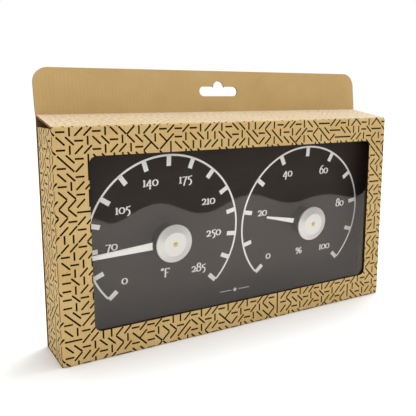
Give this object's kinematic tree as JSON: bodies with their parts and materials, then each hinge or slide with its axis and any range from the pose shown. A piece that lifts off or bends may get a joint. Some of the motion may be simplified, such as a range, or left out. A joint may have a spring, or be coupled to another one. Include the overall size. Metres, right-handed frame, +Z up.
{
  "type": "dial hygrometer",
  "caption": "Twin-dial thermometer and hygrometer on a black plate, boxed behind the clear window of a printed kraft hang carton.",
  "frame": {"origin": "centre of the bounding box's bottom, on the surface the carton stands on", "axes": "+X to the right along the carton's front, +Y from the window to the back panel, +Z up"},
  "size_m": [0.2636, 0.0394, 0.1788],
  "materials": {
    "kraft_print": "kraft fluted board, printed with short dark dashes, matt",
    "kraft_plain": "kraft fluted board, unprinted, matt",
    "film": "clear glossy window film",
    "wood": "oiled wood",
    "black_plate": "matt black with white printed scales",
    "steel": "zinc plated",
    "brass": "turned",
    "black_plastic": "matt black",
    "bimetal": "rolled strip",
    "humidity_strip": "rolled strip with a moisture-sensitive coat",
    "white_needle": "white lacquer",
    "cap": "satin, spun"
  },
  "bodies": {
    "carton": {"front_panel": "kraft_print", "window_film": "film", "bottom_panel": "kraft_print", "top_panel": "kraft_print", "glue_flap": "kraft_plain", "back_panel": "kraft_print", "hang_header": "kraft_plain"},
    "instrument": {"backboard": "wood", "dial_plate": "black_plate", "dial_plate_screws": "steel", "hanger_plate": "steel", "hanger_screws": "steel", "temperature_stud": "brass", "temperature_stud_washer": "steel", "temperature_stud_nut": "steel", "temperature_movement_cup": "black_plastic", "temperature_coil": "bimetal", "temperature_coil_anchor": "brass", "temperature_retainer": "steel", "temperature_cap": "cap", "temperature_cap_rivet": "brass", "humidity_stud": "brass", "humidity_stud_washer": "steel", "humidity_stud_nut": "steel", "humidity_movement_cup": "black_plastic", "humidity_coil": "humidity_strip", "humidity_coil_anchor": "brass", "humidity_retainer": "steel", "humidity_cap": "cap", "humidity_cap_rivet": "brass"},
    "temperature_needle": {"temperature_pointer_hub": "brass", "temperature_pointer": "white_needle"},
    "humidity_needle": {"humidity_pointer_hub": "brass", "humidity_pointer": "white_needle"},
    "left_end": {"left_end_flap": "kraft_print"},
    "left_tuck": {"left_tuck_flap": "kraft_plain"},
    "left_dust": {"left_dust_flap": "kraft_plain"},
    "right_end": {"right_end_flap": "kraft_print"},
    "right_tuck": {"right_tuck_flap": "kraft_plain"},
    "right_dust": {"right_dust_flap": "kraft_plain"}
  },
  "joints": [
    {"name": "instrument_shift", "type": "slide", "parent": "carton", "child": "instrument", "axis": [-1, 0, 0], "range_m": [0, 0.01]},
    {"name": "temperature_pointer_turn", "type": "hinge", "parent": "instrument", "child": "temperature_needle", "pos_m": [-0.0532, -0.01124, 0.06577], "axis": [0, 0.9951, 0.0993], "range_deg": [-39.2, 225.8], "stiffness_Nm_per_rad": 0.002, "deforming": ["temperature_coil"]},
    {"name": "humidity_pointer_turn", "type": "hinge", "parent": "instrument", "child": "humidity_needle", "pos_m": [0.0636, -0.01124, 0.06577], "axis": [0, 0.9951, 0.0993], "range_deg": [-54.5, 210.5], "stiffness_Nm_per_rad": 0.0015, "deforming": ["humidity_coil"]},
    {"name": "left_end_open", "type": "hinge", "parent": "carton", "child": "left_end", "pos_m": [-0.1315, -0.01853, 0.072], "axis": [0, 0, 1], "range_deg": [0, 110]},
    {"name": "left_tuck_fold", "type": "hinge", "parent": "left_end", "child": "left_tuck", "pos_m": [-0.1303, 0.01107, 0.072], "axis": [0, 0, -1], "range_deg": [0, 20]},
    {"name": "left_dust_open", "type": "hinge", "parent": "carton", "child": "left_dust", "pos_m": [-0.13015, -0.00373, 0.00135], "axis": [0, -1, 0], "range_deg": [0, 22]},
    {"name": "right_end_open", "type": "hinge", "parent": "carton", "child": "right_end", "pos_m": [0.1315, -0.01853, 0.072], "axis": [0, 0, -1], "range_deg": [0, 110]},
    {"name": "right_tuck_fold", "type": "hinge", "parent": "right_end", "child": "right_tuck", "pos_m": [0.1303, 0.01107, 0.072], "axis": [0, 0, 1], "range_deg": [0, 20]},
    {"name": "right_dust_open", "type": "hinge", "parent": "carton", "child": "right_dust", "pos_m": [0.13015, -0.00373, 0.00135], "axis": [0, 1, 0], "range_deg": [0, 22]}
  ],
  "couplings": [
    {"joint": "left_dust_open", "follows": "left_end_open", "ratio": 0.2},
    {"joint": "right_dust_open", "follows": "right_end_open", "ratio": 0.2}
  ]
}
